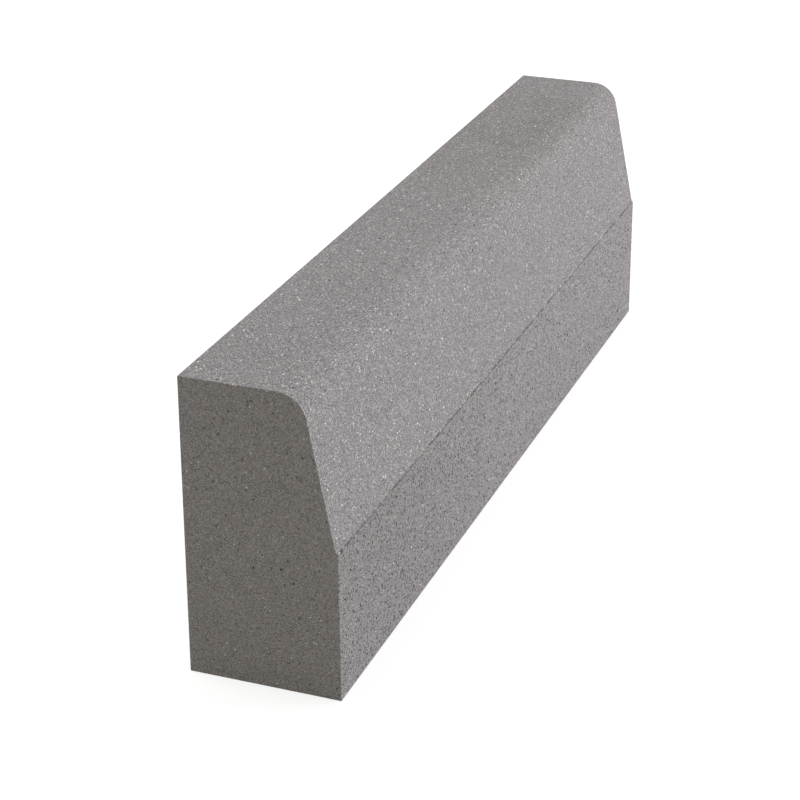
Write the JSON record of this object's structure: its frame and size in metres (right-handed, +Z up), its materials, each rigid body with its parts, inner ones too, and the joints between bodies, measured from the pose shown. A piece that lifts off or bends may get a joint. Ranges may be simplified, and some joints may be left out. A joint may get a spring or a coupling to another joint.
{
  "type": "concrete kerb stone",
  "caption": "Straight pressed concrete kerb stone with a flat bed, a plumb back, a battered upper road face above a narrow ledge and a rounded top corner, for edging a road.",
  "frame": {"origin": "middle of the bed, the face the stone stands on", "axes": "+X along the road, +Y from the road towards the plumb back face, +Z up"},
  "size_m": [1, 0.1516, 0.3],
  "materials": {
    "pressed_concrete": "matt dry grey concrete with a sandy grain, pale grit and fine pores"
  },
  "bodies": {
    "root": {"kerb_stone": "pressed_concrete"}
  },
  "joints": []
}
